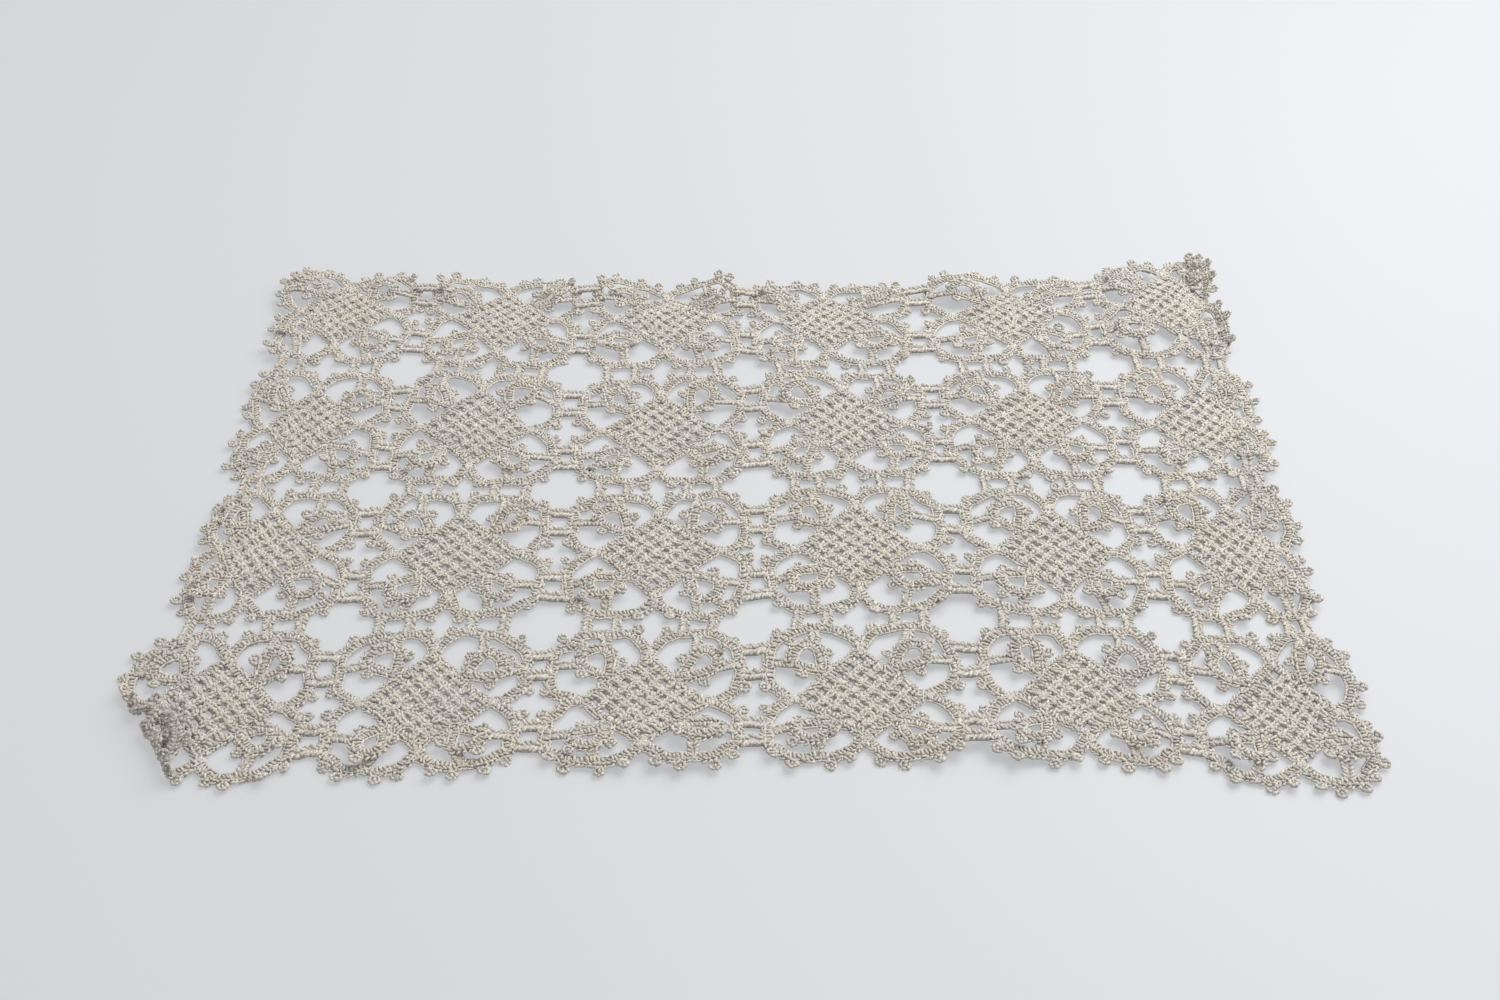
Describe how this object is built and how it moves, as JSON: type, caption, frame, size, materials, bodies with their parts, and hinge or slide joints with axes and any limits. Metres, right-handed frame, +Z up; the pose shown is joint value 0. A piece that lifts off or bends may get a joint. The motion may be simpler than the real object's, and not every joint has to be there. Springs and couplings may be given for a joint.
{
  "type": "crochet doily",
  "caption": "Rectangular openwork crochet doily of joined square motifs with net diamonds, leaf loops and picots, lying slightly uneven with one curled corner.",
  "frame": {"origin": "bottom centre of the doily's box, on the surface that it lies on", "axes": "+X along the long side to the right, +Y from the front edge to the back edge, +Z up, out of the cloth's right side"},
  "size_m": [0.3898, 0.2728, 0.0156],
  "materials": {
    "cotton": "dull unbleached crochet cotton, tightly twisted"
  },
  "bodies": {
    "root": {"doily": "cotton"}
  },
  "joints": []
}
